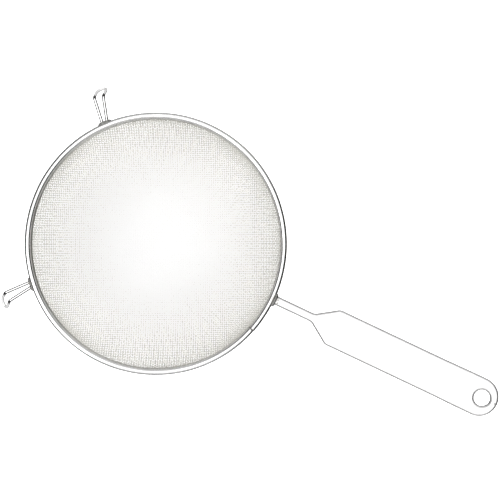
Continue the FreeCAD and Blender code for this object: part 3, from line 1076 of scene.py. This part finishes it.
def hook_path(side):
    """Middle line of a hook drawn along +X, from one root to the other."""
    def leg(half):
        along = np.array([math.cos(HOOK_SPLAY), half * math.sin(HOOK_SPLAY), 0])
        root = np.array([-HOOK_ROOT_INSET, half * HOOK_ROOT_HALF_GAP, HOOK_WIRE / 2])
        length = HOOK_LEG + HOOK_ROOT_INSET
        points = [root + along * d for d in np.linspace(0, length, HOOK_LEG_STEPS)[:-1]]
        for angle in np.linspace(0, HOOK_BEND, HOOK_BEND_STEPS):
            forward = along * (length + HOOK_BEND_RADIUS * math.sin(angle))
            drop = HOOK_BEND_RADIUS * (1 - math.cos(angle))
            points.append(root + forward - np.array([0, 0, drop]))
        tail = along * math.cos(HOOK_BEND) - np.array([0, 0, math.sin(HOOK_BEND)])
        points.append(points[-1] + tail * HOOK_TAIL)
        return points, tail

    near, near_tail = leg(1)
    far, far_tail = leg(-1)
    axis = unit(near_tail + far_tail)
    lean = math.asin(near_tail[1])
    radius = near[-1][1] / math.cos(lean)
    centre = near[-1] * (1, 0, 1) + axis * (radius * math.sin(lean))
    half_turn = math.pi / 2 + lean
    loop = [centre + radius * (math.cos(t) * axis + math.sin(t) * np.array([0, 1, 0]))
            for t in np.linspace(half_turn, -half_turn, HOOK_LOOP_STEPS)[1:-1]]
    path = np.array(near + loop + far[::-1])
    path[:, 1] += side * HOOK_LEAN * (path[:, 2] - HOOK_WIRE / 2)
    return path


def hook_in_place(points, side):
    place = hook_place(side)
    spin = about_z(place - side * HOOK_SKEW)
    return points @ spin + polar(RIM_OUTER_RADIUS, place, 0)


def hook(side, material):
    name = "right" if side > 0 else "left"
    points, faces = tube(hook_path(side), (0, 0, 1), HOOK_WIRE / 2, HOOK_SIDES)
    points = outside_rim(hook_in_place(points, side))
    return add_piece(f"{name}_rest_hook", points, faces, material, f"{name}_hook")


def weld_bead(place, height, half_length, radius, seed):
    """Lumpy bead along the outside of the rim, with the ripples of a welded seam."""
    along = np.linspace(-1, 1, WELD_STEPS)
    angles = place + along * half_length / RIM_OUTER_RADIUS
    path = polar(np.full(WELD_STEPS, RIM_OUTER_RADIUS + WELD_STAND_OFF), angles, height)
    swell = radius * np.sqrt(np.maximum(1 - np.abs(along) ** WELD_END_POWER, WELD_END_SHARE))
    ripple = np.cos(along * half_length * 2 * math.pi / WELD_RIPPLE_PITCH)
    swell = swell * (1 + WELD_RIPPLE * ripple)
    points, faces = tube(path, (0, 0, 1), swell, WELD_SIDES)
    for size, amount, seed_step in WELD_LUMPS:
        points = bumpy(points, size, amount, seed + seed_step)
    return points, faces


def hook_weld(side, material):
    name = "right" if side > 0 else "left"
    height = (HOOK_WIRE / 2 + curl_z) / 2
    points, faces = weld_bead(hook_place(side), height, HOOK_WELD_HALF_LENGTH, HOOK_WELD_RADIUS,
                              HOOK_WELD_SEED + side)
    return add_piece(f"{name}_hook_weld_bead", points, faces, material, f"{name}_hook_weld")


def handle_weld(material):
    points, faces = weld_bead(0.0, HANDLE_WELD_HEIGHT, HANDLE_WELD_HALF_LENGTH,
                              HANDLE_WELD_RADIUS, HANDLE_WELD_SEED)
    return add_piece("handle_weld_bead", points, faces, material, "handle_weld")


# ---------------------------------------------------------------- stage

def floor():
    mesh = bpy.data.meshes.new("floor")
    half = FLOOR_HALF
    z = cad_low.z - FLOOR_GAP
    corners = [(-half, -half, z), (half, -half, z), (half, half, z), (-half, half, z)]
    mesh.from_pydata(corners, [], [(0, 1, 2, 3)])
    mesh.materials.append(floor_material())
    made = bpy.data.objects.new("floor", mesh)
    bpy.context.scene.collection.objects.link(made)


def softbox(name, direction, height, distance, size, power):
    """Area light that points at the rim's centre from a side of the picture."""
    light = bpy.data.lights.new(name, "AREA")
    light.size = size
    light.energy = power
    made = bpy.data.objects.new(name, light)
    made.location = direction.normalized() * distance + Vector((0, 0, height))
    made.rotation_mode = "QUATERNION"
    made.rotation_quaternion = (-made.location).to_track_quat("-Z", "Y")
    bpy.context.scene.collection.objects.link(made)


class World(Shader):
    """The room's node tree, built with the same short ways as a material."""

    def __init__(self, name):
        self.world = bpy.data.worlds.new(name)
        self.world.use_nodes = True
        self.tree = self.world.node_tree
        self.tree.nodes.clear()


def level_direction(azimuth):
    """Horizontal direction at this angle up from the picture's right."""
    return image_right * math.cos(azimuth) + image_up * math.sin(azimuth)


def world():
    """Mirrored rays see a white ceiling over a dim horizon, with a soft glow at the top and
    at the bottom of the picture and a dark card to its right. Diffuse light is even, and the
    camera sees plain white behind the object."""
    s = World("studio")
    direction = s.node("TexCoord").outputs["Generated"]
    height = s.node("SeparateXYZ", direction).outputs[2]
    horizon = s.between(s.component(direction, image_right), HORIZON_LEFT, HORIZON_RIGHT,
                        -HORIZON_REACH, HORIZON_REACH)
    for azimuth, strength in HORIZON_GLOWS:
        towards = s.component(direction, level_direction(azimuth))
        lobe = s.between(towards, 0.0, strength, math.cos(HORIZON_GLOW_WIDTH), 1.0)
        horizon = s.math("ADD", horizon, lobe)
    rise = s.between(height, 0.0, 1.0, math.sin(CEILING_START), math.sin(CEILING_FULL))
    glow = s.blend(rise, horizon, CEILING_GLOW)
    card = level_direction(CARD_AZIMUTH) * math.cos(CARD_ELEVATION)
    card += Vector((0, 0, math.sin(CARD_ELEVATION)))
    on_card = s.between(s.component(direction, card), 0.0, 1.0,
                        math.cos(CARD_OUTER), math.cos(CARD_INNER))
    glow = s.blend(on_card, glow, CARD_GLOW)
    glow = s.blend(s.node("LightPath").outputs["Is Diffuse Ray"], glow, FILL_GLOW)
    seen = s.node("Background", (1, 1, 1, 1), 1.0)
    mirrored = s.node("Background", (1, 1, 1, 1), glow)
    is_camera = s.node("LightPath").outputs["Is Camera Ray"]
    mix = s.node("MixShader", is_camera, mirrored.outputs[0], seen.outputs[0])
    output = s.node("OutputWorld")
    s.tree.links.new(mix.outputs[0], output.inputs["Surface"])
    bpy.context.scene.world = s.world


def camera():
    data = bpy.data.cameras.new("camera")
    data.sensor_width = SENSOR_WIDTH
    data.lens = SENSOR_WIDTH * CAMERA_HEIGHT / FIELD_WIDTH
    made = bpy.data.objects.new("camera", data)
    aim = image_right * AIM_RIGHT - image_up * AIM_DOWN
    made.location = (aim + Vector((0, 0, CAMERA_HEIGHT))) * MM
    made.rotation_euler = (0, 0, CAMERA_ROLL)
    bpy.context.scene.collection.objects.link(made)
    bpy.context.scene.camera = made


# ---------------------------------------------------------------- the whole thing

hook_roots = [tuple(polar(RIM_OUTER_RADIUS, hook_place(side), HOOK_HEAT_HEIGHT))
              for side in (1, -1)]
handle_root = (RIM_OUTER_RADIUS, 0, HANDLE_HEAT_HEIGHT)
seam_root = tuple(polar(RIM_OUTER_RADIUS - SEAM_HEAT_INSET, SEAM_ANGLE, SEAM_HEAT_HEIGHT))
wire_steel = hook_steel(hook_roots)
weld_steel = weld_metal("weld_bead_metal")

rim_hoop(rim_steel(hook_roots + [handle_root, seam_root]))
bead_wire(wire_steel)
seam_weld(weld_steel)
cloth("fine", cloth_wire("fine_cloth_steel", 0.95, 0.90), FINE_ANGLE, FINE_PITCH, FINE_WIRE,
      fine_offset, FINE_SIDES, False)
cloth("support", cloth_wire("support_cloth_steel", 0.93, 0.86), SUPPORT_ANGLE, SUPPORT_PITCH,
      SUPPORT_WIRE, support_offset, SUPPORT_SIDES, True)
handle(handle_steel([handle_root]))
handle_weld(weld_steel)
for side in (1, -1):
    hook(side, wire_steel)
    hook_weld(side, weld_steel)

floor()
world()
softbox("key_light", -image_right - image_up * KEY_DROP, KEY_HEIGHT, KEY_DISTANCE, KEY_SIZE, KEY_POWER)
camera()
bpy.context.scene.view_settings.view_transform = "Standard"
